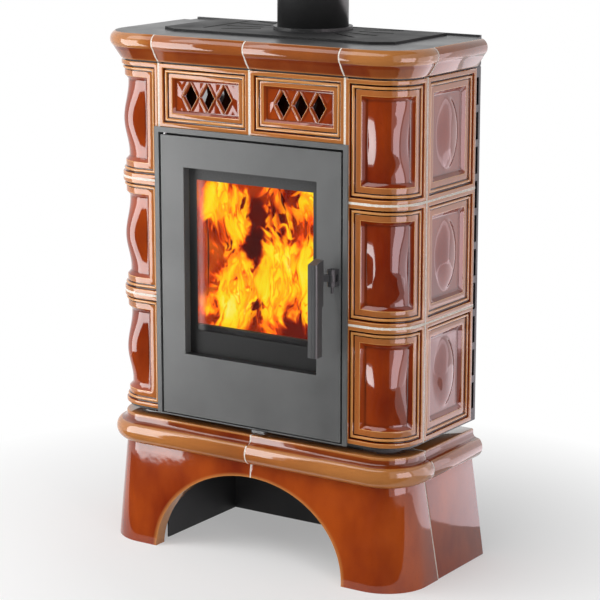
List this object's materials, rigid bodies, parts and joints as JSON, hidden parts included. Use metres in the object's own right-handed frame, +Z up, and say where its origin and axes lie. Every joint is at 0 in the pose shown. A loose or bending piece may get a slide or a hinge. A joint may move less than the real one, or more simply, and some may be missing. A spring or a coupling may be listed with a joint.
{
  "type": "tiled wood stove",
  "caption": "Upright wood stove clad in glossy relief tiles, with rounded front corners, a glazed steel door, a pierced frieze and a flared base with an arched log store.",
  "frame": {"origin": "on the floor, at the middle of the overall bounding box: left to right it is the stove's middle, and front to back it is midway between the front of the door handle and the back of the casing", "axes": "+Z up, the front of the stove and its door face -Y, +X is the right-hand side seen from the front"},
  "size_m": [0.778, 0.377, 1.2],
  "materials": {
    "glaze": "gloss",
    "grout": "matt",
    "casing_steel": "satin",
    "top_steel": "semi-gloss",
    "grille_iron": "satin",
    "flue_steel": "satin",
    "firebox_steel": "matt",
    "pan_steel": "satin",
    "door_steel": "satin",
    "grip_steel": "satin",
    "latch_steel": "satin",
    "pin_steel": "satin",
    "glass": "gloss",
    "rope": "matt",
    "firebrick": "matt",
    "grate_iron": "matt"
  },
  "bodies": {
    "stove": {"air_deflector": "firebox_steel", "baffle_plate": "firebrick", "base_grout": "grout", "base_tile_front_left": "glaze", "base_tile_front_right": "glaze", "base_tile_side_left": "glaze", "base_tile_side_right": "glaze", "body_grout": "grout", "corner_tile_left_lower": "glaze", "corner_tile_left_middle": "glaze", "corner_tile_left_upper": "glaze", "corner_tile_right_lower": "glaze", "corner_tile_right_middle": "glaze", "corner_tile_right_upper": "glaze", "cornice_grout": "grout", "cornice_tile_corner_left": "glaze", "cornice_tile_corner_right": "glaze", "cornice_tile_front_left": "glaze", "cornice_tile_front_right": "glaze", "cornice_tile_side_left": "glaze", "cornice_tile_side_right": "glaze", "door_frame": "door_steel", "firebox": "firebox_steel", "firebrick_back": "firebrick", "firebrick_left": "firebrick", "firebrick_right": "firebrick", "flue_collar": "flue_steel", "flue_pipe": "flue_steel", "grate": "grate_iron", "hearth_brick": "firebrick", "hinge_pins": "pin_steel", "latch_catch": "latch_steel", "ledge_tile_front_left": "glaze", "ledge_tile_front_right": "glaze", "ledge_tile_side_left": "glaze", "ledge_tile_side_right": "glaze", "log_retainer": "grate_iron", "rear_casing": "casing_steel", "side_tile_left_lower": "glaze", "side_tile_left_middle": "glaze", "side_tile_left_upper": "glaze", "side_tile_right_lower": "glaze", "side_tile_right_middle": "glaze", "side_tile_right_upper": "glaze", "stand": "casing_steel", "top_frame": "casing_steel", "top_grille": "grille_iron", "top_plate": "top_steel", "vent_tile_left": "glaze", "vent_tile_right": "glaze"},
    "door": {"door_panel": "door_steel", "door_glass": "glass", "glass_clips": "pin_steel", "door_seals": "rope", "handle_bracket": "latch_steel", "handle_pin": "pin_steel"},
    "handle": {"handle_arm": "latch_steel", "handle_grip": "grip_steel"},
    "air_slider": {"air_slider": "latch_steel"},
    "ash_pan": {"ash_pan": "pan_steel"}
  },
  "joints": [
    {"name": "door_hinge", "type": "hinge", "parent": "stove", "child": "door", "pos_m": [-0.2175, -0.1285, 0.602], "axis": [0, 0, -1], "range_deg": [0, 100]},
    {"name": "handle_pivot", "type": "hinge", "parent": "door", "child": "handle", "pos_m": [0.211, -0.1485, 0.6475], "axis": [0, 0, 1], "range_deg": [0, 35]},
    {"name": "air_slide", "type": "slide", "parent": "stove", "child": "air_slider", "axis": [1, 0, 0], "range_m": [0, 0.042]},
    {"name": "ash_pan_slide", "type": "slide", "parent": "stove", "child": "ash_pan", "axis": [0, -1, 0], "range_m": [0, 0.12]}
  ],
  "couplings": [
    {"joint": "ash_pan_slide", "follows": "door_hinge", "m_per_rad": 0.06875}
  ]
}
